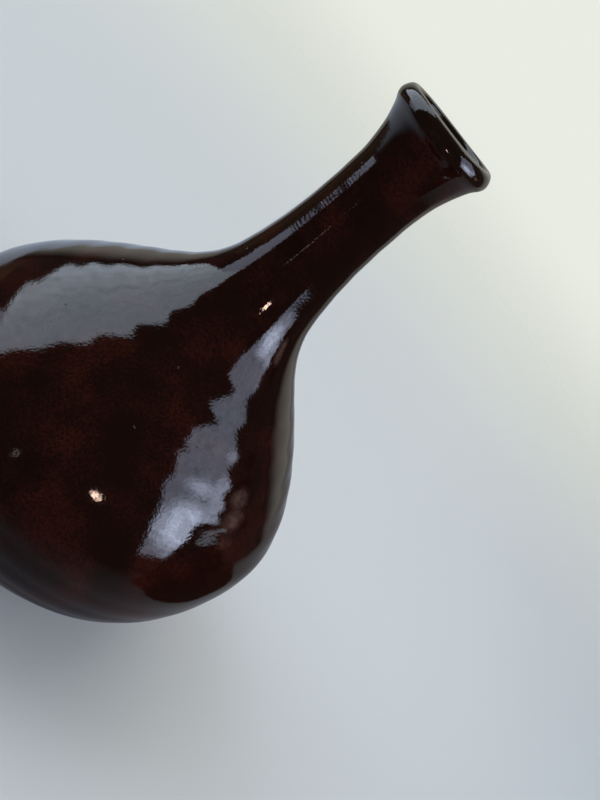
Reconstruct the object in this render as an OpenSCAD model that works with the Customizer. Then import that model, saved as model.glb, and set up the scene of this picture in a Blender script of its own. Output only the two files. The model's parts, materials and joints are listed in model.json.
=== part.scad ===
// A long-necked stoneware sake bottle: thrown clay sections, luted together at ridged
// joints, under one dark iron glaze that is poured inside and dipped outside.
// Origin at the centre of the foot's resting plane, +Z up, millimetres.

/* [Outside] */
// Height from the resting plane to the lip's crest
height = 188; // [176:1:220]
// Radius of the belly, its widest place
belly_r = 64.8; // [60:0.1:70]
// Height of the widest place
belly_z = 55; // [48:0.5:60]
// Radius half way down the sloping shoulder
shoulder_r = 34.4; // [31:0.1:38]
// Height of that place on the shoulder
shoulder_z = 97.8; // [93:0.2:102]
// Radius where the neck grows out of the shoulder
neck_foot_r = 15.9; // [14.8:0.1:17]
// Height where the neck grows out of the shoulder
neck_foot_z = 124; // [120:1:128]
// Radius of the neck's waist, its narrowest place
waist_r = 12.1; // [11.4:0.1:13]

/* [Mouth] */
// Depth of the waist below the lip's crest
waist_drop = 26; // [22:1:30]
// Largest radius of the rolled lip
lip_r = 17.3; // [16.6:0.1:18.5]
// Radius of the lip's crest
crest_r = 14.9; // [14.4:0.1:15.6]
// Radius of the crease under the lip
crease_r = 15.5; // [15:0.1:16]

/* [Wall] */
// Wall at the belly, glaze included
belly_wall = 5.5; // [4.5:0.1:7]
// Wall at the neck, glaze included
neck_wall = 3.9; // [3.4:0.1:4.2]
// Thickness of the floor, glaze included
floor_wall = 7; // [5.5:0.1:9]
// Height of the ridge that registers one clay section in the next
ridge_h = 1.2; // [0.6:0.1:1.6]

/* [Foot] */
// Outer radius of the turned foot ring where it rests
foot_r = 37; // [34:0.5:40]
// Width of the foot ring
foot_w = 8; // [6:0.5:9]
// Height of the foot ring
foot_h = 6.5; // [6:0.1:8]
// Depth of the recess inside the foot ring
recess_h = 5; // [4.6:0.1:5.5]
// Chamfer on the foot ring's resting edges
foot_chamfer = 0.8; // [0.4:0.1:1.2]

/* [Glaze] */
// Thickness of the glaze, outside and inside
glaze_t = 0.6; // [0.4:0.05:0.8]
// Extra thickness of the roll where the glaze stopped above the foot
roll_t = 0.5; // [0:0.1:0.8]
// Height of the glaze's lower edge
glaze_edge_z = 11.5; // [10.5:0.5:13]
// Radius of the glaze's lower edge
glaze_edge_r = 45.5; // [44:0.5:47]
// Depth below the crest where the two coats of glaze meet inside the mouth
seam_drop = 10; // [8:0.5:12]

/* [Hidden] */
$fn = 160;

clay_colour = "#8a6a50";
foot_colour = "#7c5c44";
glaze_colour = "#1d0d08";
liner_colour = "#24120b";

// Directions of travel along the wall, in degrees: outward is 0
up = 90;
inward = 180;
down = 270;
// Slope of the clay at the glaze's lower edge
edge_slope = 36;
// Slope of the bare clay where it leaves the foot ring
foot_slope = 24;
// Direction half way down the shoulder
shoulder_turn = 136.5;
// Direction where the neck leaves the shoulder
neck_foot_turn = 103;
// Direction in the crease under the lip
crease_turn = 68;
// Direction just inside the mouth
throat_turn = 244;
// Direction where the two coats of glaze meet
seam_turn = 256;
// Direction where the inner wall runs out on to the floor
floor_turn = 188;

// Share of a run's chord that its curve handles take
handle = 0.36;
// The same for the full curve over the belly, the lip's flat outer face and the bowl inside
dome_handle = 0.28;
face_handle = 0.3;
bowl_handle = 0.5;

// Depths below the crest of the crease, the lip's widest place and the throat
crease_drop = 7.2;
lip_drop = 3.4;
throat_drop = 3;
// Radius that the throat loses from the crest, and the seam gains on the bore
throat_in = 2.1;
seam_flare = 2.2;
// Drop of the bore's narrowest place below the waist outside
bore_drop = 1;
// Extra wall at the root of the neck, and the wall half way down the shoulder
root_extra = 0.4;
slope_in = 4.3;
slope_drop = 3.9;

// Height of the floor inside, the radius at which it turns up, and its rise by there
floor_z = recess_h + floor_wall;
floor_edge_r = 26;
floor_rise = 1.5;
// Length over which the roll at the glaze's edge dies out
roll_reach = 3.5;
// Taper of the foot ring, resting plane to top
foot_taper = 0.8;

// Points per run of the wall's curve
wall_steps = 14;
lip_steps = 7;
bare_steps = 6;

// A station is [radius, height, direction of travel]. The travel goes up the outside, over
// the crest and down the inside, so the finished face is on its right.
s_edge = [glaze_edge_r, glaze_edge_z, edge_slope];
s_belly = [belly_r, belly_z, up];
s_shoulder = [shoulder_r, shoulder_z, shoulder_turn];
s_neck_foot = [neck_foot_r, neck_foot_z, neck_foot_turn];
s_waist = [waist_r, height - waist_drop, up];
s_crease = [crease_r, height - crease_drop, crease_turn];
s_lip = [lip_r, height - lip_drop, up];
s_crest = [crest_r, height, inward];
s_throat = [crest_r - throat_in, height - throat_drop, throat_turn];
s_seam = [waist_r - neck_wall + seam_flare, height - seam_drop, seam_turn];
s_bore = [waist_r - neck_wall, height - waist_drop - bore_drop, down];
s_neck_root = [neck_foot_r - neck_wall - root_extra, neck_foot_z, neck_foot_turn + inward];
s_inner_slope = [shoulder_r - slope_in, shoulder_z - slope_drop, shoulder_turn + inward];
s_inner_belly = [belly_r - belly_wall, belly_z, down];
s_floor_edge = [floor_edge_r, floor_z + floor_rise, floor_turn];
s_floor = [0, floor_z, inward];

function heading(angle) = [cos(angle), sin(angle)];
function left_of(d) = [-d[1], d[0]];
function place(s) = [s[0], s[1]];

// [point, unit direction] at share t of the cubic run from station a to station b
function on_run(a, b, share, t) =
    let (reach = share * norm(place(b) - place(a)),
         c1 = place(a) + reach * heading(a[2]),
         c2 = place(b) - reach * heading(b[2]),
         u = 1 - t,
         p = u * u * u * place(a) + 3 * u * u * t * c1 + 3 * u * t * t * c2 + t * t * t * place(b),
         d = u * u * (c1 - place(a)) + 2 * u * t * (c2 - c1) + t * t * (place(b) - c2))
    [p, d / norm(d)];

function run(a, b, share, steps) = [for (i = [0:steps - 1]) on_run(a, b, share, i / steps)];

// The finished face, from the glaze's lower edge round to the middle of the floor
face = concat(
    run(s_edge, s_belly, handle, wall_steps),
    run(s_belly, s_shoulder, dome_handle, wall_steps),
    run(s_shoulder, s_neck_foot, handle, wall_steps),
    run(s_neck_foot, s_waist, handle, wall_steps),
    run(s_waist, s_crease, handle, wall_steps),
    run(s_crease, s_lip, handle, lip_steps),
    run(s_lip, s_crest, face_handle, lip_steps),
    run(s_crest, s_throat, handle, lip_steps),
    run(s_throat, s_seam, handle, lip_steps),
    run(s_seam, s_bore, handle, wall_steps),
    run(s_bore, s_neck_root, handle, wall_steps),
    run(s_neck_root, s_inner_slope, handle, wall_steps),
    run(s_inner_slope, s_inner_belly, dome_handle, wall_steps),
    run(s_inner_belly, s_floor_edge, bowl_handle, wall_steps),
    run(s_floor_edge, s_floor, handle, lip_steps),
    [on_run(s_floor_edge, s_floor, handle, 1)]);

// Where the sections meet, as places in the face's list
i_belly = wall_steps;
i_neck_foot = 3 * wall_steps;
i_crease = 5 * wall_steps;
i_seam = i_crease + 4 * lip_steps;
i_neck_root = i_seam + 2 * wall_steps;
i_inner_belly = i_neck_root + 2 * wall_steps;
i_last = len(face) - 1;

// The clay lies one glaze thickness behind the finished face
clay = [for (f = face) f[0] + glaze_t * left_of(f[1])];

// The glaze runs thicker where it stopped above the foot
function roll(p) = roll_t * exp(-pow(norm(p - face[0][0]) / roll_reach, 2));
skin = [for (f = face) f[0] - roll(f[0]) * left_of(f[1])];

function part_of(points, a, b) = [for (i = [a:b]) points[i]];
function back_through(points, a, b) = [for (i = [b:-1:a]) points[i]];

// Crest of the ridge between the clay's outer place i and inner place j
function ridge(i, j) =
    let (d = (clay[j] - clay[i]) / norm(clay[j] - clay[i]))
    (clay[i] + clay[j]) / 2 + ridge_h * [d[1], -d[0]];

module turned(outline) {
    rotate_extrude() polygon(outline);
}

// The bare wall from the foot ring's top up to the glaze's edge
foot_top = [foot_r + foot_taper, foot_h, foot_slope];
bare = [for (i = [0:bare_steps - 1])
    on_run(foot_top, [clay[0][0], clay[0][1], edge_slope], handle, i / bare_steps)[0]];

// The ring that the bottle stands on, turned from the thick base and left unglazed
module foot_ring() {
    inner_r = foot_r - foot_w;
    color(foot_colour)
        turned([
            [inner_r + foot_chamfer, 0],
            [foot_r - foot_chamfer, 0],
            [foot_r, foot_chamfer],
            place(foot_top),
            [inner_r, foot_h],
            [inner_r, foot_chamfer]]);
}

// The bowl: the floor, which registers inside the foot ring, and the wall up to the belly
module lower_body() {
    inner_r = foot_r - foot_w;
    color(clay_colour)
        turned(concat(
            [[0, recess_h], [inner_r, recess_h], [inner_r, foot_h]],
            bare,
            part_of(clay, 0, i_belly),
            [ridge(i_belly, i_inner_belly)],
            part_of(clay, i_inner_belly, i_last)));
}

// The dome that closes in from the belly to the root of the neck
module shoulder() {
    color(clay_colour)
        turned(concat(
            part_of(clay, i_belly, i_neck_foot),
            [ridge(i_neck_foot, i_neck_root)],
            part_of(clay, i_neck_root, i_inner_belly),
            [ridge(i_belly, i_inner_belly)]));
}

// The long collared neck
module neck() {
    color(clay_colour)
        turned(concat(
            part_of(clay, i_neck_foot, i_crease),
            [ridge(i_crease, i_seam)],
            part_of(clay, i_seam, i_neck_root),
            [ridge(i_neck_foot, i_neck_root)]));
}

// The rolled lip round the mouth
module lip() {
    color(clay_colour)
        turned(concat(part_of(clay, i_crease, i_seam), [ridge(i_crease, i_seam)]));
}

// The dipped coat: outside, over the lip and a little way down the mouth
module outer_glaze() {
    color(glaze_colour)
        turned(concat(part_of(skin, 0, i_seam), back_through(clay, 0, i_seam)));
}

// The poured coat that seals the inside
module inner_glaze() {
    color(liner_colour)
        turned(concat(part_of(skin, i_seam, i_last), back_through(clay, i_seam, i_last)));
}

foot_ring();
lower_body();
shoulder();
neck();
lip();
outer_glaze();
inner_glaze();
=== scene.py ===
"""Looks of a long-necked stoneware sake bottle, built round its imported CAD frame.

The bottle is wheel-thrown and stands on a turned foot ring. A dark iron glaze is poured
inside, then the bottle is held by its foot and dipped mouth first, so the outer coat runs
over the lip and stops in a thick wavy roll above the bare foot.

Every piece starts from the section of the CAD node that it stands for: the node is cut
through its axis, the cut line is smoothed and drawn again point by point, and the line is
spun round the axis. The marks of the hand and of the kiln are then put into the mesh.
"""

import json
import logging
import math
from dataclasses import dataclass, field
from enum import Enum
from typing import Callable, Sequence

import bpy
import numpy as np
from mathutils import Matrix, Vector

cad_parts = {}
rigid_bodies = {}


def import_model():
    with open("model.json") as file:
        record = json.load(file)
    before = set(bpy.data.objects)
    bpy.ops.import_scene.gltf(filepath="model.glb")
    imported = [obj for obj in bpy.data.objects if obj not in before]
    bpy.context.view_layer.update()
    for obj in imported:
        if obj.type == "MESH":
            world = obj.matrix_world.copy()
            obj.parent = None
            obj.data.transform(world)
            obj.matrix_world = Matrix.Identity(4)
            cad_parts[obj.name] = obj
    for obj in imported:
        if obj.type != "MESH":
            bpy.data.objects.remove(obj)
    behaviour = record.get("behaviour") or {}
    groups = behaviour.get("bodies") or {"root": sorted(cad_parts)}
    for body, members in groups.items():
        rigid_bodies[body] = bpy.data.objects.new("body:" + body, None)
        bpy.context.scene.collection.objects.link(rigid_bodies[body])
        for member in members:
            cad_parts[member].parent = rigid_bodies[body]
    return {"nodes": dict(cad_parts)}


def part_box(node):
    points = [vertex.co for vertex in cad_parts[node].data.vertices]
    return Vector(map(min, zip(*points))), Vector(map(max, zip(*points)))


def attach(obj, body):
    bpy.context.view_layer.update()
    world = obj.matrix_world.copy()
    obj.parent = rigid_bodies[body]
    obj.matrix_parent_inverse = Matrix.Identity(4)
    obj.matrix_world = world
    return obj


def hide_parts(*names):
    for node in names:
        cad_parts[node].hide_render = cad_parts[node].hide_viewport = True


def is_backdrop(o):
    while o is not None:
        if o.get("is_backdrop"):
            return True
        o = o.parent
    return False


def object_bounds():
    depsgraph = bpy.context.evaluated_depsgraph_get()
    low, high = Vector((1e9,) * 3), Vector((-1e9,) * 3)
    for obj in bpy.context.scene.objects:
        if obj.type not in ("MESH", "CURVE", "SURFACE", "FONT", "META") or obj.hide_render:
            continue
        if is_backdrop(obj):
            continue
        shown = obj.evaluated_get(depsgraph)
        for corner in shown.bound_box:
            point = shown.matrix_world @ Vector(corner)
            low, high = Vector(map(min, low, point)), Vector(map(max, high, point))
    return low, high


log = logging.getLogger("sake_bottle")

MM = 0.001
FULL_TURN = 2 * math.pi

# A point of a section: (radius, height) in metres
Point = tuple[float, float]

# Short names for Blender's types
Object = bpy.types.Object
Material = bpy.types.Material
Tree = bpy.types.NodeTree
Socket = bpy.types.NodeSocket


class Slot(Enum):
    """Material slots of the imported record."""

    FOOT_CLAY = "foot_clay"
    BODY_CLAY = "body_clay"
    OUTER_GLAZE = "outer_glaze"
    INNER_GLAZE = "inner_glaze"


class Side(Enum):
    """The two sides of a coat of glaze."""

    FACE = "face"
    BACK = "back"


# ------------------------------------------------------------------ small helpers


def linear(colour: str) -> tuple[float, float, float, float]:
    """Turn an sRGB hex colour into linear light.

    Args:
        colour: The colour as "#rrggbb".

    Returns:
        Red, green, blue and alpha, linear.
    """
    channels = [int(colour[i : i + 2], 16) / 255 for i in (1, 3, 5)]
    light = [c / 12.92 if c <= 0.04045 else ((c + 0.055) / 1.055) ** 2.4 for c in channels]
    return (light[0], light[1], light[2], 1.0)


def per_mm(size: float) -> float:
    """Texture scale, in Object coordinates, of a pattern that repeats every `size` mm."""
    return 1.0 / (size * MM)


def band_scale(size: float) -> float:
    """Scale of a wave texture, in Object coordinates, whose bands repeat every `size` mm."""
    return FULL_TURN / (20 * size * MM)


def smoothstep(low: float, high: float, x: np.ndarray) -> np.ndarray:
    """Ramp from 0 at `low` to 1 at `high`, with flat ends.

    Args:
        low: Where the ramp starts.
        high: Where it ends. It may be less than `low`, and the ramp then falls.
        x: The values to ramp.

    Returns:
        The ramp at each value.
    """
    t = np.clip((x - low) / (high - low), 0, 1)
    return t * t * (3 - 2 * t)


def deselect_all() -> None:
    """Deselect every object."""
    for obj in bpy.context.view_layer.objects:
        obj.select_set(False)


def select_only(obj: Object) -> None:
    """Deselect everything, then select `obj` and make it the active object."""
    deselect_all()
    obj.select_set(True)
    bpy.context.view_layer.objects.active = obj


def in_edit_mode(obj: Object, work: Callable[[], None]) -> None:
    """Run `work` with `obj` alone in edit mode and all of it selected.

    Args:
        obj: The object to edit.
        work: A function that calls the mesh operators.
    """
    select_only(obj)
    bpy.ops.object.mode_set(mode="EDIT")
    bpy.ops.mesh.select_mode(type="VERT")
    bpy.ops.mesh.select_all(action="SELECT")
    work()
    bpy.ops.object.mode_set(mode="OBJECT")


def coordinates(obj: Object) -> np.ndarray:
    """The mesh's vertex coordinates, one row each."""
    co = np.zeros(len(obj.data.vertices) * 3)
    obj.data.vertices.foreach_get("co", co)
    return co.reshape(-1, 3)


def set_coordinates(obj: Object, co: np.ndarray) -> None:
    """Write vertex coordinates back to the mesh."""
    obj.data.vertices.foreach_set("co", co.ravel())
    obj.data.update()


# ------------------------------------------------------------------ sections and spinning


@dataclass
class Section:
    """The right half of a turned node's outline, in order.

    Attributes:
        points: The outline's corners.
        closed: Whether it is a loop. If not, both its ends are on the axis.
    """

    points: list[Point]
    closed: bool

    @classmethod
    def of_node(cls, node: Object) -> "Section":
        """Cut a CAD node through its axis and read the cut line.

        Args:
            node: The node's object. It is copied, and left as it is.

        Returns:
            The outline of its right half.
        """
        cutting = node.copy()
        cutting.data = node.data.copy()
        cutting.parent = None
        bpy.context.scene.collection.objects.link(cutting)

        def cut() -> None:
            """Keep the cut line only, and of that the half on +X."""
            bpy.ops.mesh.remove_doubles(threshold=0.001 * MM)
            bpy.ops.mesh.select_all(action="SELECT")
            bpy.ops.mesh.bisect(
                plane_co=(0, 0, 0), plane_no=(0, 1, 0), clear_inner=True, clear_outer=True
            )
            bpy.ops.mesh.select_all(action="SELECT")
            bpy.ops.mesh.bisect(plane_co=(0, 0, 0), plane_no=(1, 0, 0), clear_inner=True)

        in_edit_mode(cutting, cut)
        section = cls._walk(cutting.data)
        bpy.data.objects.remove(cutting)
        return section

    @classmethod
    def _walk(cls, mesh: bpy.types.Mesh) -> "Section":
        """Follow a mesh of bare edges from end to end.

        Args:
            mesh: The cut line.

        Returns:
            Its corners in order, without those that lie on a straight stretch.
        """
        beside: dict[int, list[int]] = {v.index: [] for v in mesh.vertices}
        for edge in mesh.edges:
            a, b = edge.vertices
            beside[a].append(b)
            beside[b].append(a)
        ends = [i for i, near in beside.items() if len(near) == 1]
        start = min(ends or beside, key=lambda i: mesh.vertices[i].co.z)
        path = [start]
        previous, here = -1, start
        while True:
            onward = [n for n in beside[here] if n != previous]
            if not onward or onward[0] == start:
                break
            previous, here = here, onward[0]
            path.append(here)
        points = [(mesh.vertices[i].co.x, mesh.vertices[i].co.z) for i in path]
        return cls(cls._corners_only(points, not ends), not ends)

    @staticmethod
    def _corners_only(points: list[Point], closed: bool) -> list[Point]:
        """Drop the points at which an outline doesn't turn."""
        least_turn = math.radians(0.12)
        kept = []
        for i, point in enumerate(points):
            if not closed and i in (0, len(points) - 1):
                kept.append(point)
                continue
            before, after = points[i - 1], points[(i + 1) % len(points)]
            if abs(turn_at(before, point, after)) > least_turn:
                kept.append(point)
        return kept

    def coat(self) -> dict[Side, list[Point]]:
        """Split the section of a thin coat at its edges.

        Returns:
            The finished face and the back that lies on the clay. Both run from the
            coat's lower or outer edge to its other edge or to the axis.
        """
        n = len(self.points)
        edge_turn = math.radians(50)
        edges = [
            i
            for i in range(n)
            if (self.closed or 0 < i < n - 1)
            and abs(turn_at(self.points[i - 1], self.points[i], self.points[(i + 1) % n])) > edge_turn
        ]
        if self.closed:
            low = sorted(edges, key=lambda i: self.points[i][1])[:2]
            high = [i for i in edges if i not in low]
            arcs = [self._arc(a, b) for a in low for b in high]
        else:
            arcs = [list(reversed(self.points[: min(edges) + 1])), self.points[max(edges) :]]
        arcs = [arc for arc in arcs if arc and not any(self.points[i] in arc[1:-1] for i in edges)]
        # The face of the outer coat tops the lip, and that of the inner coat tops the floor
        if self.closed:
            arcs.sort(key=lambda arc: max(p[1] for p in arc))
        else:
            arcs.sort(key=lambda arc: arc[-1][1])
        return {Side.BACK: arcs[0], Side.FACE: arcs[-1]}

    def _arc(self, a: int, b: int) -> list[Point]:
        """The corners from a to b on a loop, by the way that meets no other edge."""
        n = len(self.points)
        forward = [self.points[(a + k) % n] for k in range((b - a) % n + 1)]
        backward = [self.points[(a - k) % n] for k in range((a - b) % n + 1)]
        return min(forward, backward, key=len)


def turn_at(before: Point, here: Point, after: Point) -> float:
    """Angle by which an outline turns at a point.

    Args:
        before: The point before it.
        here: The point.
        after: The point after it.

    Returns:
        The turn in radians, positive to the left.
    """
    a = math.atan2(here[1] - before[1], here[0] - before[0])
    b = math.atan2(after[1] - here[1], after[0] - here[0])
    return (b - a + math.pi) % FULL_TURN - math.pi


def smoothed(corners: Sequence[Point], spacing: Callable[[Point], float]) -> list[Point]:
    """Draw a smooth line through an outline's corners, as a cubic spline does.

    Args:
        corners: The corners, from end to end.
        spacing: The distance to the next point, for the place that it is given.

    Returns:
        Points along the smooth line, ends included.
    """
    ring = np.array([corners[0], *corners, corners[-1]])
    # The spline is drawn to its very ends by mirroring the second corner in the first
    ring[0] = 2 * ring[1] - ring[2]
    ring[-1] = 2 * ring[-2] - ring[-3]
    fine = []
    for i in range(1, len(ring) - 2):
        p0, p1, p2, p3 = ring[i - 1 : i + 3]
        for t in np.linspace(0, 1, 12, endpoint=False):
            b0, b3 = (1 - t) ** 3, t**3
            b1 = 3 * t**3 - 6 * t**2 + 4
            b2 = -3 * t**3 + 3 * t**2 + 3 * t + 1
            fine.append((b0 * p0 + b1 * p1 + b2 * p2 + b3 * p3) / 6)
    fine.append(ring[-2])
    kept = [fine[0]]
    for here in fine[1:-1]:
        if np.linalg.norm(here - kept[-1]) >= spacing((kept[-1][0], kept[-1][1])):
            kept.append(here)
    kept.append(fine[-1])
    return [(float(p[0]), float(p[1])) for p in kept]


def round_end(a: Point, b: Point, points: int = 6) -> list[Point]:
    """Points of the half circle that rounds a coat's edge.

    Args:
        a: Where the half circle starts. It bulges to the right of the way from a to b.
        b: Where it ends.
        points: How many points it has between the two.

    Returns:
        The points between a and b.
    """
    start, end = Vector(a), Vector(b)
    centre = (start + end) / 2
    arm = start - centre
    turned = []
    for k in range(1, points + 1):
        angle = math.pi * k / (points + 1)
        arc = Matrix.Rotation(angle, 2) @ arm
        turned.append((centre.x + arc.x, centre.y + arc.y))
    return turned


def spin_outline(name: str, outline: Sequence[Point], closed: bool, steps: int) -> Object:
    """Draw an outline by extruding a single vertex, then spin it round the axis.

    Args:
        name: Name of the piece.
        outline: The outline's points, in order.
        closed: Whether the last point joins the first.
        steps: Steps of the full turn.

    Returns:
        The new object, with its seams merged and its faces outwards.
    """
    deselect_all()
    path = [*outline, outline[0]] if closed else list(outline)
    first = path[0]
    bpy.ops.mesh.primitive_circle_add(vertices=3, radius=MM, location=(0, 0, 0))
    piece = bpy.context.active_object
    piece.name = piece.data.name = name

    def draw() -> None:
        """Collapse the primitive to its first point, and extrude along the outline."""
        bpy.ops.mesh.merge(type="CENTER")
        bpy.ops.transform.translate(value=(first[0], 0, first[1]))
        for here, there in zip(path, path[1:]):
            step = (there[0] - here[0], 0, there[1] - here[1])
            bpy.ops.mesh.extrude_region_move(TRANSFORM_OT_translate={"value": step})
        bpy.ops.mesh.select_all(action="SELECT")
        bpy.ops.mesh.remove_doubles(threshold=0.002 * MM)
        bpy.ops.mesh.select_all(action="SELECT")
        bpy.ops.mesh.spin(
            steps=steps, angle=FULL_TURN, center=(0, 0, 0), axis=(0, 0, 1), use_auto_merge=True
        )
        bpy.ops.mesh.select_all(action="SELECT")
        bpy.ops.mesh.remove_doubles(threshold=0.002 * MM)
        bpy.ops.mesh.select_all(action="SELECT")
        bpy.ops.mesh.normals_make_consistent(inside=False)

    in_edit_mode(piece, draw)
    bpy.ops.object.shade_smooth()
    return piece


# ------------------------------------------------------------------ the marks of the hand


@dataclass(frozen=True)
class Throwing:
    """How far the thrown wall strays from a true body of revolution.

    Attributes:
        ring_pitch: Rise of the spiral that the fingers leave, per turn, in mm.
        ring_depth: Half its depth on the belly, in mm.
        neck_depth: Half its depth on the neck, in mm.
        out_of_round: How oval the belly is, in mm of radius.
        lip_wave: How far the lip rises and falls, in mm.
        height: The bottle's height in metres.
        belly: The belly's radius in metres.
    """

    ring_pitch: float
    ring_depth: float
    neck_depth: float
    out_of_round: float
    lip_wave: float
    height: float
    belly: float = 0.065

    def shaped(self, co: np.ndarray) -> np.ndarray:
        """Move points of a true body of revolution to where the hand left them.

        Args:
            co: Points, one row each, in metres.

        Returns:
            The moved points.
        """
        x, y, z = co.T
        radius = np.hypot(x, y)
        angle = np.arctan2(y, x)
        z_mm = z / MM
        # The spiral's pitch and depth wander a little, as the hand's pace does
        pace = z_mm / self.ring_pitch + 0.35 * np.sin(z_mm / 17) - angle / FULL_TURN
        strength = 0.65 + 0.35 * np.sin(z_mm / 11.3 + 1.7 * np.sin(angle + 0.6))
        # The rings are deep between the foot and the shoulder, and faint on the neck
        body = smoothstep(118, 96, z_mm) * smoothstep(8, 20, z_mm)
        depth = self.neck_depth + (self.ring_depth - self.neck_depth) * body
        # Rounded crests with narrower valleys, as a fingertip's width leaves them
        wave = np.sin(FULL_TURN * pace)
        rings = depth * strength * (wave - 0.3 * wave**2)
        oval = self.out_of_round * np.cos(2 * angle + 0.9 + z_mm / 70)
        lean = 0.5 * self.out_of_round * np.sin(3 * angle + z_mm / 45)
        share = smoothstep(0, 20, z_mm) * radius / self.belly
        push = (rings + (oval + lean) * share) * MM
        # Points next to the axis stay where they are
        axis_reach = 2 * MM
        scale = np.where(radius > axis_reach, 1 + push / np.maximum(radius, axis_reach), 1)
        near_lip = smoothstep(0.86, 1.0, z / self.height)
        rise = 0.6 * np.cos(2 * angle - 0.4) + 0.4 * np.sin(3 * angle + 1.1)
        lift = self.lip_wave * MM * near_lip * rise
        return np.column_stack([x * scale, y * scale, z + lift])


# ------------------------------------------------------------------ finishes


def add_node(
    tree: Tree,
    kind: str,
    settings: dict[str, object] | None = None,
    inputs: dict[str | int, object] | None = None,
) -> bpy.types.Node:
    """Add a shader node, set it and link it.

    Args:
        tree: The node tree.
        kind: The node's type, such as "ShaderNodeBump".
        settings: Attributes of the node and their values.
        inputs: Values or output sockets, by the name or number of the node's own input.

    Returns:
        The new node.
    """
    node = tree.nodes.new(kind)
    for name, value in (settings or {}).items():
        setattr(node, name, value)
    for key, value in (inputs or {}).items():
        if isinstance(value, Socket):
            tree.links.new(value, node.inputs[key])
        else:
            node.inputs[key].default_value = value
    return node


def blank_material(name: str) -> tuple[Material, Tree]:
    """A new material with an empty node tree.

    Args:
        name: The material's name.

    Returns:
        The material and its tree.
    """
    material = bpy.data.materials.new(name)
    material.use_nodes = True
    material.node_tree.nodes.clear()
    return material, material.node_tree


def ramp(tree: Tree, source: Socket, low: float, high: float) -> Socket:
    """A clamped ramp from 0 at `low` to 1 at `high`.

    Args:
        tree: The node tree.
        source: The value to ramp.
        low: Where it starts.
        high: Where it ends.

    Returns:
        The ramp's output.
    """
    node = add_node(
        tree,
        "ShaderNodeMapRange",
        {"interpolation_type": "SMOOTHSTEP"},
        {"Value": source, "From Min": low, "From Max": high},
    )
    return node.outputs["Result"]


def blend(
    tree: Tree,
    share: Socket | float,
    first: Socket | tuple[float, ...],
    second: Socket | tuple[float, ...],
) -> Socket:
    """Mix two colours.

    Args:
        tree: The node tree.
        share: Share of the second.
        first: The first colour.
        second: The second colour.

    Returns:
        The mixed colour.
    """
    node = add_node(tree, "ShaderNodeMix", {"data_type": "RGBA"}, {0: share, 6: first, 7: second})
    return node.outputs[2]


def object_place(tree: Tree) -> Socket:
    """Object coordinates."""
    return add_node(tree, "ShaderNodeTexCoord").outputs["Object"]


def calc(tree: Tree, operation: str, *values: Socket | float) -> Socket:
    """Work on numbers.

    Args:
        tree: The node tree.
        operation: The math node's operation, such as "MULTIPLY".
        values: The numbers, in the order of the node's inputs.

    Returns:
        The result.
    """
    inputs = dict(enumerate(values))
    return add_node(tree, "ShaderNodeMath", {"operation": operation}, inputs).outputs[0]


def noise(
    tree: Tree, place: Socket, size: float, detail: float, roughness: float = 0.5
) -> Socket:
    """Soft blotches, from 0 to 1.

    Args:
        tree: The node tree.
        place: Where the surface is.
        size: Rough width of the blotches, in mm.
        detail: How many finer layers are in them.
        roughness: Strength of those layers.

    Returns:
        The noise.
    """
    inputs = {"Vector": place, "Scale": per_mm(size), "Detail": detail, "Roughness": roughness}
    return add_node(tree, "ShaderNodeTexNoise", inputs=inputs).outputs["Fac"]


def seeds(tree: Tree, place: Socket, spacing: float) -> Socket:
    """Distance to the nearest of many scattered seeds, as a share of their spacing.

    Args:
        tree: The node tree.
        place: Where the surface is.
        spacing: The seeds' mean spacing, in mm.

    Returns:
        The distance.
    """
    inputs = {"Vector": place, "Scale": per_mm(spacing)}
    return add_node(tree, "ShaderNodeTexVoronoi", inputs=inputs).outputs["Distance"]


def bumped(tree: Tree, relief: Socket, depth: float, below: Socket | None = None) -> Socket:
    """Lay relief over a surface.

    Args:
        tree: The node tree.
        relief: The relief, from 0 to 1.
        depth: Its depth, in mm.
        below: The normal that it lies on, if there is relief below it.

    Returns:
        The new normal.
    """
    under = {} if below is None else {"Normal": below}
    inputs = {"Height": relief, "Distance": depth * MM, **under}
    return add_node(tree, "ShaderNodeBump", inputs=inputs).outputs[0]


def show(tree: Tree, shader: bpy.types.Node) -> None:
    """Link a shader to the material's output."""
    add_node(tree, "ShaderNodeOutputMaterial", inputs={"Surface": shader.outputs[0]})


def shine(tree: Tree, light: str, strength: Socket | float) -> None:
    """Make the material one that only shines.

    Args:
        tree: The node tree.
        light: Its colour.
        strength: Its brightness.
    """
    inputs = {"Color": linear(light), "Strength": strength}
    show(tree, add_node(tree, "ShaderNodeEmission", inputs=inputs))


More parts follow.
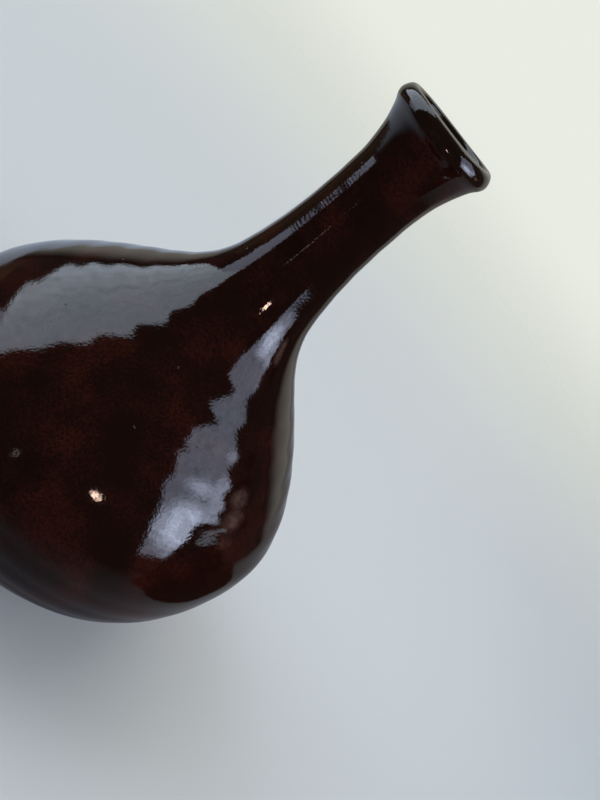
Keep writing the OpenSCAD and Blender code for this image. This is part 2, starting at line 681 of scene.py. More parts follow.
@dataclass(frozen=True)
class IronGlaze:
    """Tenmoku: a thick feldspar glaze with about a tenth of iron, fired in reduction.

    It gives the eye a near-black brown that is clear as glass on top, so lamps and windows
    show in it with crisp, slightly ragged outlines. Red-brown iron crystals float in it as a
    faint speckle, and it breaks to olive and rust where it runs thin over the lip.

    Attributes:
        name: The material's name.
        body: The colour where it is thick.
        speckle: The colour of the crystals.
        thin: The colour where it is thin.
        roughness: Of the glassy surface.
        ior: Refractive index of the glass.
        crystal: Width of the crystals, in mm.
        cloud: Width of the clouds in which they gather, in mm.
        peel: Width of its orange-peel texture, in mm.
        peel_depth: Depth of that texture, in mm.
        line_pitch: Pitch of the fine lines that the rib left in the clay below, in mm.
        line_depth: Depth of those lines in the glaze's surface, in mm.
        lines_low: Height above which the lines are clear, in metres.
        lines_high: Height above which they fade out again, in metres.
        fade_low: Length over which they fade in below, in mm.
        fade_high: Length over which they fade out above, in mm.
        swell: Width of the slow waves of a thick melt, in mm.
        swell_depth: Depth of those waves, in mm.
        pit: Radius of a burst bubble, in mm.
        pit_depth: Its depth, in mm.
        pit_spacing: Distance between burst bubbles, in mm.
    """

    name: str
    body: str
    speckle: str
    thin: str
    roughness: float = 0.05
    ior: float = 1.55
    crystal: float = 0.7
    cloud: float = 14.0
    peel: float = 0.8
    peel_depth: float = 0.024
    line_pitch: float = 1.1
    line_depth: float = 0.007
    lines_low: float = 0.0
    lines_high: float = 1.0
    fade_low: float = 20.0
    fade_high: float = 12.0
    swell: float = 7.0
    swell_depth: float = 0.02
    pit: float = 0.35
    pit_depth: float = 0.12
    pit_spacing: float = 9.0

    def material(self) -> Material:
        """Build the material's nodes.

        Returns:
            The material.
        """
        material, tree = blank_material(self.name)
        place = object_place(tree)
        thinness = add_node(
            tree, "ShaderNodeAttribute", {"attribute_name": "thinness"}
        ).outputs["Fac"]
        crystals = noise(tree, place, self.crystal, 3.0, 0.65)
        clouds = noise(tree, place, self.cloud, 2.0)
        speckled = ramp(tree, calc(tree, "MULTIPLY", crystals, clouds), 0.2, 0.44)
        colour = blend(tree, speckled, linear(self.body), linear(self.speckle))
        ragged = calc(tree, "MULTIPLY_ADD", clouds, 0.5, thinness)
        colour = blend(tree, ramp(tree, ragged, 0.45, 1.15), colour, linear(self.thin))
        shader = add_node(
            tree,
            "ShaderNodeBsdfPrincipled",
            inputs={
                "Base Color": colour,
                "Roughness": self.roughness,
                "IOR": self.ior,
                "Normal": self._surface(tree, place),
            },
        )
        show(tree, shader)
        return material

    def _surface(self, tree: Tree, place: Socket) -> Socket:
        """The melt's slow waves, the rib's lines, the orange peel and the burst bubbles.

        Args:
            tree: The node tree.
            place: Object coordinates.

        Returns:
            The bumped normal.
        """
        swell = noise(tree, place, self.swell, 1.0)
        peel = noise(tree, place, self.peel, 2.5)
        rim = self.pit / self.pit_spacing
        pits = ramp(tree, seeds(tree, place, self.pit_spacing), 0.4 * rim, rim)
        # The rib's lines run round the pot, and fade in and out as the rib pressed on it
        lines = add_node(
            tree,
            "ShaderNodeTexWave",
            {"wave_type": "BANDS", "bands_direction": "Z"},
            {
                "Vector": place,
                "Scale": band_scale(self.line_pitch),
                "Distortion": 7.0,
                "Detail": 3.0,
                "Detail Scale": 0.5,
            },
        ).outputs["Fac"]
        height = add_node(tree, "ShaderNodeSeparateXYZ", inputs={0: place}).outputs["Z"]
        for share in (
            ramp(tree, swell, 0.38, 0.62),
            ramp(tree, height, self.lines_low - self.fade_low * MM, self.lines_low),
            ramp(tree, height, self.lines_high + self.fade_high * MM, self.lines_high),
        ):
            lines = calc(tree, "MULTIPLY", lines, share)
        normal = bumped(tree, swell, self.swell_depth)
        for relief, depth in (
            (lines, self.line_depth),
            (peel, self.peel_depth),
            (pits, self.pit_depth),
        ):
            normal = bumped(tree, relief, depth, normal)
        return normal


@dataclass(frozen=True)
class BareStoneware:
    """Unglazed stoneware, turned leather-hard and toasted by the kiln.

    It gives the eye a dry, matt brown with dark iron specks and pale grit, fine lines
    where the turning tool dragged the grit, and a redder blush beside the glaze.

    Attributes:
        name: The material's name.
        clay: The main colour.
        toasted: The colour of the blush.
        iron: The colour of the specks.
        blush_low: Height at which the blush starts, in metres.
        blush_high: Height at which it is full, in metres.
        patch: Width of its uneven patches, in mm.
        grit: Width of the grit, in mm.
        grit_depth: How far the grit stands out, in mm.
        speck_spacing: Distance between the iron specks, in mm.
        line: Width of the turning tool's drag lines, in mm.
        line_depth: Depth of those lines, in mm.
        stretch: How much finer the lines are upwards than round the pot.
    """

    name: str
    clay: str
    toasted: str
    iron: str
    blush_low: float
    blush_high: float
    patch: float = 9.0
    grit: float = 0.7
    grit_depth: float = 0.09
    speck_spacing: float = 2.6
    line: float = 0.45
    line_depth: float = 0.05
    stretch: float = 0.12

    def material(self) -> Material:
        """Build the material's nodes.

        Returns:
            The material.
        """
        material, tree = blank_material(self.name)
        place = object_place(tree)
        height = add_node(tree, "ShaderNodeSeparateXYZ", inputs={0: place}).outputs["Z"]
        mottle = noise(tree, place, self.patch, 4.0, 0.6)
        grit = noise(tree, place, self.grit, 2.0)
        blush = ramp(tree, height, self.blush_low, self.blush_high)
        blush = ramp(tree, calc(tree, "MULTIPLY", blush, mottle), 0.1, 0.5)
        colour = blend(tree, blush, linear(self.clay), linear(self.toasted))
        specks = ramp(tree, seeds(tree, place, self.speck_spacing), 0.16, 0.08)
        for dark in (ramp(tree, grit, 0.62, 0.4), specks):
            colour = blend(tree, dark, colour, linear(self.iron))
        dragged = add_node(
            tree,
            "ShaderNodeMapping",
            {"vector_type": "POINT"},
            {"Vector": place, "Scale": (self.stretch, self.stretch, 1.0)},
        ).outputs[0]
        lines = noise(tree, dragged, self.line, 1.0)
        normal = bumped(tree, lines, self.line_depth, bumped(tree, grit, self.grit_depth))
        roughness = add_node(
            tree,
            "ShaderNodeMapRange",
            inputs={"Value": mottle, "To Min": 0.72, "To Max": 0.92},
        ).outputs["Result"]
        shader = add_node(
            tree,
            "ShaderNodeBsdfPrincipled",
            inputs={"Base Color": colour, "Roughness": roughness, "Normal": normal},
        )
        show(tree, shader)
        return material


# ------------------------------------------------------------------ the pieces


@dataclass
class Piece:
    """A piece of the bottle that stands for one CAD node.

    Attributes:
        name: The piece's name.
        node: The CAD node that it replaces.
        slot: The record's material slot. It is not used.
        throwing: The marks of the hand.
        obj: The built object.
    """

    name: str
    node: str
    slot: Slot
    throwing: Throwing
    obj: Object | None = field(default=None, init=False)

    def finish_piece(self, material: Material) -> None:
        """Give the built object its material and its place in the frame.

        Args:
            material: The finish.
        """
        mesh = self.obj.data
        mesh.materials.clear()
        mesh.materials.append(material)
        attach(self.obj, "root")
        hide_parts(self.node)
        log.info("%s: %d vertices, %d faces", self.name, len(mesh.vertices), len(mesh.polygons))

    def set_attribute(self, name: str, values: np.ndarray) -> None:
        """Store one number per vertex for the finish to read.

        Args:
            name: Name of the numbers.
            values: The numbers.
        """
        layer = self.obj.data.attributes.new(name, "FLOAT", "POINT")
        layer.data.foreach_set("value", values.astype(np.float32))


@dataclass
class OuterCoat(Piece):
    """The dipped coat: outside, over the lip and a little way down the mouth.

    Attributes:
        turns: Steps round the axis.
        edge_wave: How far the lower edge wanders up and down the wall, in mm.
        wave_reach: How far up the wall that wandering is felt, in mm.
        tears: Angles round the bottle at which the melt hangs in a short tear.
        tear_width: Width of a tear, as an angle.
        tear_drop: How far a tear hangs, in mm.
    """

    turns: int = 256
    edge_wave: float = 1.7
    wave_reach: float = 16.0
    tears: tuple[float, ...] = (-2.2, -0.75, 0.9, 2.5)
    tear_width: float = 0.09
    tear_drop: float = 1.1

    def build(self, node: Object) -> None:
        """Spin the coat from its CAD section and mark it with the hand.

        Args:
            node: The CAD node.
        """
        sides = Section.of_node(node).coat()
        edge_z = sides[Side.FACE][0][1]
        top_z = self.throwing.height

        def face_step(p: Point) -> float:
            """Fine steps at the roll and the lip, coarser ones on the wall."""
            if p[1] < edge_z + 6 * MM or p[1] > top_z - 12 * MM:
                return 0.45 * MM
            return 0.95 * MM

        face = smoothed(sides[Side.FACE], face_step)
        back = smoothed(sides[Side.BACK], lambda p: 5 * MM)
        seam = round_end(face[-1], back[-1], 3)
        roll = round_end(back[0], face[0], 8)
        outline = face + seam + list(reversed(back)) + roll
        self.obj = spin_outline(self.name, outline, True, self.turns)
        set_coordinates(self.obj, self._wander(self.throwing.shaped(coordinates(self.obj)), edge_z))
        self._mark_thin(top_z)

    def _wander(self, co: np.ndarray, edge_z: float) -> np.ndarray:
        """Slide the lower edge up and down the wall, unevenly round the bottle.

        Args:
            co: Vertex coordinates.
            edge_z: The edge's mean height.

        Returns:
            The moved coordinates.
        """
        x, y, z = co.T
        angle = np.arctan2(y, x)
        radius = np.hypot(x, y)
        wave = (
            0.55 * np.sin(2 * angle + 0.7)
            + 0.3 * np.sin(5 * angle + 2.1)
            + 0.18 * np.sin(9 * angle + 0.4)
            + 0.12 * np.sin(16 * angle + 1.3)
        )
        tears = np.zeros(len(co))
        for middle in self.tears:
            off = (angle - middle + math.pi) % FULL_TURN - math.pi
            tears += np.exp(-((off / self.tear_width) ** 2))
        # Only the outside moves, not the seam in the mouth
        outside = radius > 30 * MM
        low = smoothstep(edge_z / MM + self.wave_reach, edge_z / MM, z / MM) * outside
        slide = (self.edge_wave * wave - self.tear_drop * tears) * low * MM
        slope = math.radians(40)
        grown = radius + slide * math.cos(slope)
        return np.column_stack([x * grown / radius, y * grown / radius, z + slide * math.sin(slope)])

    def _mark_thin(self, top_z: float) -> None:
        """Note how thin the glaze ran: most of all on the lip's crest.

        Args:
            top_z: The lip's height.
        """
        co = coordinates(self.obj)
        drop = (top_z - co[:, 2]) / MM
        radius = np.hypot(co[:, 0], co[:, 1]) / MM
        crest = smoothstep(2.6, 0.2, drop)
        outer_edge = 0.55 * smoothstep(16.3, 17.4, radius) * smoothstep(9, 5, drop)
        self.set_attribute("thinness", np.clip(crest + outer_edge, 0, 1))


@dataclass
class InnerCoat(Piece):
    """The poured coat that seals the inside, marked by the fingers' deeper spiral.

    Attributes:
        turns: Steps round the axis.
    """

    turns: int = 128

    def build(self, node: Object) -> None:
        """Spin the coat from its CAD section.

        Args:
            node: The CAD node.
        """
        sides = Section.of_node(node).coat()
        face = smoothed(sides[Side.FACE], lambda p: 1.3 * MM)
        back = smoothed(sides[Side.BACK], lambda p: 6 * MM)
        face[-1] = (0.0, face[-1][1])
        back[-1] = (0.0, back[-1][1])
        seam = round_end(back[0], face[0], 3)
        outline = list(reversed(back)) + seam + face
        self.obj = spin_outline(self.name, outline, False, self.turns)
        set_coordinates(self.obj, self.throwing.shaped(coordinates(self.obj)))
        self.set_attribute("thinness", np.zeros(len(self.obj.data.vertices)))


@dataclass
class TurnedFoot(Piece):
    """The foot ring, cut with a turning tool and softened at its edges.

    Attributes:
        turns: Steps round the axis.
        groove: Pitch of the tool's lines, in mm.
        groove_depth: Depth of those lines, in mm.
    """

    turns: int = 192
    groove: float = 1.4
    groove_depth: float = 0.09

    def build(self, node: Object) -> None:
        """Spin the ring from its CAD section, soften its edges and turn lines in it.

        Args:
            node: The CAD node.
        """
        section = Section.of_node(node)
        outline = divided(section.points, 0.45 * MM, True)
        self.obj = spin_outline(self.name, outline, True, self.turns)
        select_only(self.obj)
        soften = self.obj.modifiers.new("soft_edges", "SMOOTH")
        soften.factor, soften.iterations = 0.5, 3
        bpy.ops.object.modifier_apply(modifier=soften.name)
        co = tool_lines(coordinates(self.obj), self.groove, self.groove_depth)
        co[:, 2] = np.maximum(co[:, 2], 0)
        set_coordinates(self.obj, co)


@dataclass
class ThrownBowl(Piece):
    """The lower body's clay: floor, wall, and the recess turned inside the foot ring.

    Attributes:
        turns: Steps round the axis.
        recess_pitch: Pitch of the spiral that the tool left in the recess, in mm.
        recess_depth: Half the depth of that spiral, in mm.
        recess: Radius of the recess, in mm.
        nub: Height of the nub that the tool left in its middle, in mm.
    """

    turns: int = 160
    recess_pitch: float = 3.4
    recess_depth: float = 0.22
    recess: float = 28.5
    nub: float = 0.5

    def build(self, node: Object) -> None:
        """Spin the bowl from its CAD section and turn its base.

        Args:
            node: The CAD node.
        """
        section = Section.of_node(node)
        outline = divided(section.points, 0.9 * MM, False)
        self.obj = spin_outline(self.name, outline, False, self.turns)
        co = coordinates(self.obj)
        x, y, z = co.T
        radius = np.hypot(x, y) / MM
        angle = np.arctan2(y, x)
        in_recess = (z < z.min() + 0.2 * MM) & (radius < self.recess)
        spiral = np.sin(FULL_TURN * (radius / self.recess_pitch - angle / FULL_TURN))
        nub = self.nub * np.exp(-((radius / 3) ** 2))
        fade = smoothstep(self.recess, 26.0, radius) * smoothstep(0.5, 4, radius)
        co[:, 2] = z - np.where(in_recess, self.recess_depth * spiral * fade + nub, 0) * MM
        shaped = self.throwing.shaped(co)
        # The foot's end of the wall is cut true, and the thrown wall begins above it
        band = smoothstep(8, 13, co[:, 2] / MM)[:, None]
        set_coordinates(self.obj, co * (1 - band) + shaped * band)


def divided(points: Sequence[Point], spacing: float, closed: bool) -> list[Point]:
    """Add points along an outline's straight stretches.

    Args:
        points: The outline's corners.
        spacing: The greatest distance between points.
        closed: Whether the last corner joins the first.

    Returns:
        The corners and the points between them.
    """
    filled: list[Point] = []
    following = points[1:] + points[:1] if closed else points[1:]
    for a, b in zip(points, following):
        count = max(1, round(math.dist(a, b) / spacing))
        for k in range(count):
            filled.append((a[0] + (b[0] - a[0]) * k / count, a[1] + (b[1] - a[1]) * k / count))
    if not closed:
        filled.append(points[-1])
    return filled


def tool_lines(co: np.ndarray, pitch: float, depth: float) -> np.ndarray:
    """Cut a fine spiral into a turned surface.

    Args:
        co: Vertex coordinates.
        pitch: The spiral's pitch in mm.
        depth: Its depth in mm.

    Returns:
        The moved coordinates.
    """
    x, y, z = co.T
    radius = np.hypot(x, y)
    angle = np.arctan2(y, x)
    travel = (z + 0.7 * radius) / MM / pitch - angle / FULL_TURN
    cut = depth * MM * (0.5 + 0.5 * np.sin(FULL_TURN * travel)) * (0.75 + 0.25 * np.sin(3 * angle))
    chatter = 0.02 * MM * np.sin(41 * angle)
    grown = radius - cut + chatter
    return np.column_stack([x * grown / radius, y * grown / radius, z])


# ------------------------------------------------------------------ the studio


@dataclass(frozen=True)
class Reach:
    """Which rays see an object of the stage.

    Attributes:
        camera: Whether the camera sees it.
        diffuse: Whether it lights matt surfaces.
        glossy: Whether glossy surfaces mirror it.
        shadow: Whether it casts a shadow.
    """

    camera: bool
    diffuse: bool
    glossy: bool
    shadow: bool

    def give(self, obj: Object) -> None:
        """Set the object's ray visibility."""
        obj.visible_camera = self.camera
        obj.visible_diffuse = self.diffuse
        obj.visible_glossy = self.glossy
        obj.visible_transmission = self.glossy
        obj.visible_shadow = self.shadow


def dressed(name: str, size: Sequence[float], finish: Material, reach: Reach) -> Object:
    """Name, size and dress the object that an operator has just added to the stage.

    Args:
        name: Its name.
        size: Its scale along each axis.
        finish: Its material.
        reach: Which rays see it.

    Returns:
        The object, with its place and scale applied.
    """
    obj = bpy.context.active_object
    obj.name = name
    obj.scale = size
    bpy.ops.object.transform_apply(location=True, rotation=True, scale=True)
    obj.data.materials.append(finish)
    reach.give(obj)
    return obj


@dataclass(frozen=True)
class Card:
    """A lit card that stands round the bottle, such as a window.

    Attributes:
        name: The card's name.
        bearing: Direction in which it stands, in degrees from +Y towards +X.
        distance: Distance of its middle from the axis, in metres.
        middle: Height of its middle, in metres.
        width: Its width, in metres.
        height: Its height, in metres.
        light: Its colour.
        strength: Its brightness away from the bright patch.
        reach: Which rays see it.
        lean: How far its top leans towards the axis, in degrees.
        patch: Extra brightness at the middle of its bright patch.
        patch_height: Height of that patch, in metres.
        patch_size: Radius of that patch, in metres.
        soft: Width over which its left and right edges fade, in metres.
        mottle: How strongly its light is broken up, as by a thin curtain, from 0 to 1.
        fold: Width of the curtain's folds, in mm.
    """

    name: str
    bearing: float
    distance: float
    middle: float
    width: float
    height: float
    light: str
    strength: float
    reach: Reach
    lean: float = 0.0
    patch: float = 0.0
    patch_height: float = 0.7
    patch_size: float = 0.6
    soft: float = 0.001
    mottle: float = 0.0
    fold: float = 80.0

    def build(self) -> None:
        """Stand the card up, facing the axis."""
        deselect_all()
        turn = math.radians(self.bearing)
        at = (self.distance * math.sin(turn), self.distance * math.cos(turn), self.middle)
        bpy.ops.mesh.primitive_plane_add(
            size=1, location=at, rotation=(math.radians(90 + self.lean), 0, -turn)
        )
        glow = self._glow(Vector(at))
        card = dressed(self.name, (self.width, self.height, 1), glow, self.reach)
        card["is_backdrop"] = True

    def _glow(self, at: Vector) -> Material:
        """Light with a bright patch, broken up a little, that fades at the card's sides.

        Args:
            at: The card's middle.

        Returns:
            The material.
        """
        material, tree = blank_material(self.name)
        place = object_place(tree)
        centre = Vector((at.x, at.y, self.patch_height))
        away = add_node(
            tree, "ShaderNodeVectorMath", {"operation": "DISTANCE"}, {0: place, 1: centre}
        ).outputs["Value"]
        bright = ramp(tree, away, self.patch_size, 0.0)
        strength = calc(tree, "MULTIPLY_ADD", bright, self.patch, self.strength)
        broken = add_node(
            tree,
            "ShaderNodeMapRange",
            inputs={
                "Value": noise(tree, place, self.fold, 4.0, 0.7),
                "From Min": 0.35,
                "From Max": 0.65,
                "To Min": 1 - self.mottle,
                "To Max": 1 + self.mottle,
            },
        ).outputs["Result"]
        turn = math.radians(self.bearing)
        offset = add_node(
            tree, "ShaderNodeVectorMath", {"operation": "SUBTRACT"}, {0: place, 1: at}
        ).outputs["Vector"]
        sideways = add_node(
            tree,
            "ShaderNodeVectorMath",
            {"operation": "DOT_PRODUCT"},
            {0: offset, 1: (math.cos(turn), -math.sin(turn), 0)},
        ).outputs["Value"]
        half = self.width / 2
        inside = ramp(tree, calc(tree, "ABSOLUTE", sideways), half, half - self.soft)
        for factor in (broken, inside):
            strength = calc(tree, "MULTIPLY", strength, factor)
        shine(tree, self.light, strength)
        return material


@dataclass(frozen=True)
class Flag:
    """A dark rounded flag beside the bottle that glows faintly, and so puts a painted dark reflection
    on part of its side.

    Attributes:
        name: The flag's name.
        at: Its middle, in metres.
        size: Half its size along each axis, in metres.
        reach: Which rays see it.
        felt: The colour in which it faintly glows.
        glow: How bright it looks.
    """

    name: str
    at: tuple[float, float, float]
    size: tuple[float, float, float]
    reach: Reach
    felt: str = "#ffc8b0"
    glow: float = 0.02

    def build(self) -> None:
        """Put the flag in its place."""
        deselect_all()
        bpy.ops.mesh.primitive_uv_sphere_add(segments=32, ring_count=16, radius=1, location=self.at)
        bpy.ops.object.shade_smooth()
        material, tree = blank_material(self.name)
        shine(tree, self.felt, self.glow)
        flag = dressed(self.name, self.size, material, self.reach)
        flag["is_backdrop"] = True


@dataclass(frozen=True)
class Studio:
    """A pale floor in soft light, with two tall windows and a dim side towards the viewer.

    Attributes:
        floor_radius: Radius of the whole floor, in metres.
        floor_drop: How far the floor lies below the foot, in mm.
        fade_near: Distance at which the floor starts to fade into the backdrop, in metres.
        eye_height: Rough height of the eye over the floor, which sets how the fade looks.
        shell_radius: Radius of the backdrop, in metres.
        floor_colour: Colour of the floor.
        floor_right: Its colour far to the right, where less light falls.
        floor_turn: From where to where along X the one changes to the other, in metres.
        table: Left, near, right and far edge of the floor that the glaze mirrors, in metres.
        table_soft: Widths over which its left, near and right edges fade, in metres.
        table_left: Colour of the mirrored floor's left side.
        table_right: Colour of its right side, which gets less light.
        table_turn: From where to where along X the one changes to the other, in metres.
        backdrop: Colour of the backdrop.
        backdrop_light: Brightness of the backdrop.
        dim_room: Colour of the room that the glaze mirrors between the windows.
        dim_light: Brightness of that room.
        fill: Brightness of the light that comes from everywhere.
    """

    floor_radius: float = 9.0
    floor_drop: float = 0.05
    fade_near: float = 0.4
    eye_height: float = 0.3
    shell_radius: float = 10.5
    floor_colour: str = "#d7d9d8"
    floor_right: str = "#bbbfc2"
    floor_turn: tuple[float, float] = (0.1, 0.5)
    table: tuple[float, float, float, float] = (-0.47, -0.13, 0.52, 1.1)
    table_soft: tuple[float, float, float] = (0.07, 0.15, 0.3)
    table_left: str = "#bcc5d2"
    table_right: str = "#7c7877"
    table_turn: tuple[float, float] = (-0.12, 0.2)
    backdrop: str = "#fbfff5"
    backdrop_light: float = 0.84
    dim_room: str = "#f2e8e0"
    dim_light: float = 0.035
    fill: float = 0.35

    def build(self) -> None:
        """Build the floor, the backdrop and the lights."""
        bpy.context.scene.view_settings.view_transform = "Standard"
        self._floor()
        self._world()
        mirrored = Reach(camera=False, diffuse=False, glossy=True, shadow=False)
        lit = Reach(camera=False, diffuse=True, glossy=True, shadow=False)
        cards = (
            Card(
                "window_right", 100, 1.5, 1.09, 0.92, 1.91, "#d8e3ff", 2.0, lit,
                patch=8.0, patch_height=0.7, patch_size=0.62, mottle=0.6,
            ),
            Card(
                "window_right_side", 80, 1.48, 1.25, 0.27, 1.4, "#d8e3ff", 1.9, mirrored,
                patch=3.0, patch_height=0.8, patch_size=0.4, mottle=0.6,
            ),
            Card("window_right_sill", 79, 1.47, 0.46, 0.3, 0.05, "#e6eeff", 2.6, mirrored),
            Card("window_left", -88, 1.5, 2.2, 1.73, 3.6, "#e1efff", 2.4, lit, mottle=0.3),
            Card("window_left_sill", -106, 1.5, 0.17, 0.66, 0.42, "#dce4ff", 1.7, mirrored),
            Card("window_left_foot", -106, 1.5, -0.215, 0.66, 0.19, "#dce4ff", 1.8, mirrored),
            Card("brown_curtain", -78, 1.3, -0.2, 0.9, 0.5, "#ffd9b0", 0.09, mirrored, mottle=0.6),
            Card("skylight", 0, 0.7, 1.6, 1.4, 1.0, "#fffaf2", 1.8, lit, lean=65),
            Card(
                "paper_behind", -5, 0.9, 0.4, 2.2, 1.6, "#f4f1e6", 0.38, mirrored,
                patch=0.9, patch_height=1.0, patch_size=0.9, soft=0.4,
            ),
            # Painted reflection: the lit brown side of a jar beside the bottle, on a card that only
            # the glaze sees.
            Card(
                "lit_jar_reflection", 69, 1.4, 0.5, 0.5, 0.5, "#ffd1c5", 0.0, mirrored,
                patch=0.75, patch_height=0.48, patch_size=0.26, mottle=0.9,
            ),
            Card("lamp", 153, 0.3, 0.187, 0.024, 0.022, "#ffd9c4", 30.0, mirrored),
            Card("jar_shine", 100, 0.1153, 0.092, 0.03, 0.0035, "#e6eeff", 1.4, mirrored),
            Card("lamp_strip", -168, 0.8, 0.095, 0.008, 0.07, "#ffeee6", 4.0, mirrored),
        )
        # Painted reflection: dark shapes of a jar beside the bottle, which only the glaze sees and
        # which cast no shadow.
        flags = (
            Flag("low_flag", at=(0.14, -0.005, 0), size=(0.034, 0.055, 0.066), reach=mirrored),
            Flag("tall_flag", at=(0.14, -0.03, 0), size=(0.026, 0.045, 0.115), reach=mirrored),
        )
        for thing in (*cards, *flags):
            thing.build()
        # The room that the glaze mirrors stands just inside the backdrop that the camera sees
        self._shell("dim_room", 0.9 * self.shell_radius, self.dim_room, self.dim_light, mirrored)
        seen = Reach(camera=True, diffuse=False, glossy=False, shadow=False)
        self._shell("backdrop", self.shell_radius, self.backdrop, self.backdrop_light, seen)

    def _floor(self) -> None:
        """Lay the floor, and over it the stretch that only the glaze mirrors."""
        deselect_all()
        low = (0, 0, -self.floor_drop * MM)
        bpy.ops.mesh.primitive_circle_add(
            vertices=96, radius=self.floor_radius, fill_type="NGON", location=low
        )
        seen = Reach(camera=True, diffuse=True, glossy=False, shadow=True)
        floor = dressed("floor", (1, 1, 1), self._floor_finish(), seen)
        floor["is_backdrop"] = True
        left, near, right, far = self.table
        deselect_all()
        bpy.ops.mesh.primitive_plane_add(size=1, location=((left + right) / 2, (near + far) / 2, 0))
        size = (right - left, far - near, 1)
        mirrored = Reach(camera=False, diffuse=False, glossy=True, shadow=False)
        table = dressed("mirrored_floor", size, self._table_finish(), mirrored)
        table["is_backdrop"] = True

    def _floor_finish(self) -> Material:
        """Matt paper, darker towards the right as painted shade, that fades into the backdrop with
        distance.

        Returns:
            The material.
        """
        material, tree = blank_material("matt_paper")
        place = object_place(tree)
        away = add_node(
            tree, "ShaderNodeVectorMath", {"operation": "LENGTH"}, {0: place}
        ).outputs["Value"]
        # Nearness falls evenly with the angle at which the eye looks down on the floor
        nearness = calc(tree, "DIVIDE", 1.0, calc(tree, "ADD", away, self.eye_height))
        full = 1 / (self.fade_near + self.eye_height)
        gone = 1 / (self.floor_radius + self.eye_height)
        fade = ramp(tree, nearness, full, gone)
        # Painted shade: the paper darkens towards the right, where less light falls.
        across = add_node(tree, "ShaderNodeSeparateXYZ", inputs={0: place}).outputs["X"]
        across = ramp(tree, across, *self.floor_turn)
        colour = blend(tree, across, linear(self.floor_colour), linear(self.floor_right))
        self._paper(tree, colour, fade)
        return material

    def _table_finish(self) -> Material:
        """Matt paper, paler on the left and darker on the right as painted shade, with edges that
        fade out.

        Returns:
            The material.
        """
        material, tree = blank_material("mirrored_paper")
        place = object_place(tree)
        axes = add_node(tree, "ShaderNodeSeparateXYZ", inputs={0: place}).outputs
        left, near, right, _ = self.table
        soft_left, soft_near, soft_right = self.table_soft
        fade = ramp(tree, axes["X"], left + soft_left, left)
        for edge in (
            ramp(tree, axes["X"], right - soft_right, right),
            ramp(tree, axes["Y"], near + soft_near, near),
        ):
            fade = calc(tree, "MAXIMUM", fade, edge)
        # Painted shade: the mirrored paper is paler on its lit left and darker on the right, which
        # gets less light.
        across = ramp(tree, axes["X"], *self.table_turn)
        colour = blend(tree, across, linear(self.table_left), linear(self.table_right))
        self._paper(tree, colour, fade)
        return material

    @staticmethod
    def _paper(tree: Tree, colour: Socket, fade: Socket) -> None:
        """Finish a tree as matt paper that is clear where `fade` is 1.

        Args:
            tree: The node tree.
            colour: The paper's colour.
            fade: How clear it is.
        """
        paper = add_node(
            tree,
            "ShaderNodeBsdfPrincipled",
            inputs={"Base Color": colour, "Roughness": 0.9, "Specular IOR Level": 0.2},
        )
        clear = add_node(tree, "ShaderNodeBsdfTransparent")
        mix = add_node(
            tree, "ShaderNodeMixShader", inputs={0: fade, 1: paper.outputs[0], 2: clear.outputs[0]}
        )
        show(tree, mix)

    def _world(self) -> None:
        """Even light from everywhere, which the glaze doesn't mirror."""
        world = bpy.data.worlds.new("fill")
        world.use_nodes = True
        glow = world.node_tree.nodes["Background"]
        glow.inputs["Color"].default_value = linear(self.backdrop)
        glow.inputs["Strength"].default_value = self.fill
        world.cycles_visibility.glossy = False
        world.cycles_visibility.camera = False
        bpy.context.scene.world = world

    @staticmethod
    def _shell(name: str, radius: float, light: str, strength: float, reach: Reach) -> None:
        """A large even shell round everything.

        Args:
            name: The shell's name.
            radius: Its radius in metres.
            light: Its colour.
            strength: Its brightness.
            reach: Which rays see it.
        """
        deselect_all()
        bpy.ops.mesh.primitive_ico_sphere_add(subdivisions=3, radius=radius)
        material, tree = blank_material(name)
        shine(tree, light, strength)
        shell = dressed(name, (1, 1, 1), material, reach)
        shell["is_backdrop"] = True


@dataclass(frozen=True)
class Viewpoint:
    """The camera, held close, above the shoulder, tipped down and rolled to the left.

    Attributes:
        from_mouth: The camera's place, seen from the middle of the mouth, in mm.
        tip: How far it looks down, in degrees.
        roll: How far it is rolled, in degrees.
        lens: Focal length in mm.
        sensor: The film's long side in mm.
        nearest: Nearest distance that the camera sees, in metres.
    """

    from_mouth: tuple[float, float, float] = (30.9, -224.7, 11.46)
    tip: float = 22.5
    roll: float = 51.92
    lens: float = 36.45
    sensor: float = 36.0
    nearest: float = 0.01

    def build(self, mouth: Vector) -> None:
        """Place the camera.

        Args:
            mouth: The middle of the mouth.
        """
        deselect_all()
        bpy.ops.object.camera_add(location=mouth + Vector(self.from_mouth) * MM)
        camera = bpy.context.active_object
        camera.data.lens = self.lens
        camera.data.sensor_width = self.sensor
        camera.data.clip_start = self.nearest
        facing = Matrix.Rotation(math.radians(90 - self.tip), 3, "X")
        rolled = facing @ Matrix.Rotation(math.radians(self.roll), 3, "Z")
        camera.rotation_euler = rolled.to_euler()
        bpy.context.scene.camera = camera


# ------------------------------------------------------------------ the bottle


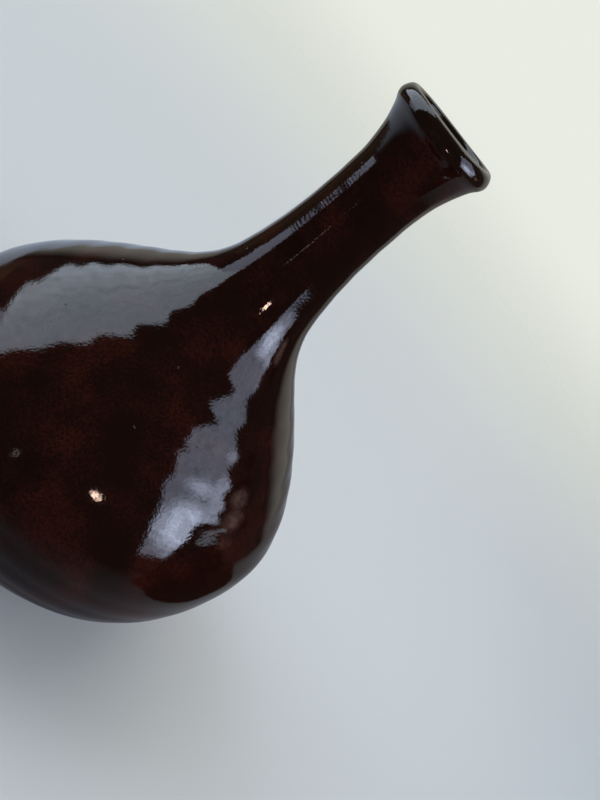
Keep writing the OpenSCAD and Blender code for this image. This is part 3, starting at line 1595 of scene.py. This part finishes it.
@dataclass
class SakeBottle:
    """The whole bottle, built in the order in which the potter makes it.

    Attributes:
        nodes: The CAD nodes by name.
    """

    nodes: dict[str, Object]

    def build(self) -> None:
        """Build and dress every piece."""
        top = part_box("outer_glaze")[1].z
        foot_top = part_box("foot_ring")[1].z
        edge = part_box("outer_glaze")[0].z
        neck_low, neck_high = (corner.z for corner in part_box("neck"))
        outside = Throwing(
            ring_pitch=8.2, ring_depth=0.11, neck_depth=0.045,
            out_of_round=0.22, lip_wave=0.22, height=top,
        )
        inside = Throwing(
            ring_pitch=10.5, ring_depth=0.3, neck_depth=0.06,
            out_of_round=0.22, lip_wave=0.22, height=top,
        )
        clay = BareStoneware(
            "bare_iron_stoneware", "#8f6d50", "#8a4f30", "#3c2a20",
            blush_low=foot_top, blush_high=edge + 3 * MM,
        ).material()
        foot_clay = BareStoneware(
            "turned_foot_stoneware", "#856449", "#7d4a2f", "#35251c",
            blush_low=0.0, blush_high=foot_top,
        ).material()
        tenmoku = IronGlaze(
            "dipped_tenmoku_glaze", "#180805", "#36130d", "#1c140d",
            lines_low=neck_low + 17 * MM, lines_high=neck_high - 24 * MM,
        ).material()
        liner = IronGlaze(
            "poured_tenmoku_glaze", "#1a0a06", "#2a0f0a", "#1c140d", roughness=0.08
        ).material()
        for piece, finish in (
            (TurnedFoot("turned_foot_ring", "foot_ring", Slot.FOOT_CLAY, outside), foot_clay),
            (ThrownBowl("thrown_lower_body", "lower_body", Slot.BODY_CLAY, outside), clay),
            (InnerCoat("poured_inner_glaze", "inner_glaze", Slot.INNER_GLAZE, inside), liner),
            (OuterCoat("dipped_outer_glaze", "outer_glaze", Slot.OUTER_GLAZE, outside), tenmoku),
        ):
            piece.build(self.nodes[piece.node])
            piece.finish_piece(finish)
        self._dress_hidden_clay(clay)

    def _dress_hidden_clay(self, clay: Material) -> None:
        """Give the clay sections under the glaze the same bare stoneware.

        Args:
            clay: The stoneware.
        """
        for name in ("shoulder", "neck", "lip"):
            node = self.nodes[name]
            node.data.materials.clear()
            node.data.materials.append(clay)
            log.info("%s: CAD node kept, dressed as bare stoneware", name)


def main() -> None:
    """Load the frame, build the bottle and the studio, and place the camera over the mouth."""
    logging.basicConfig(level=logging.INFO, format="%(name)s: %(message)s")
    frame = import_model()
    cad_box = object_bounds()
    bottle = SakeBottle(frame["nodes"])
    bottle.build()
    Studio().build()
    Viewpoint().build(Vector((0, 0, cad_box[1].z)))


if __name__ == "__main__":
    main()
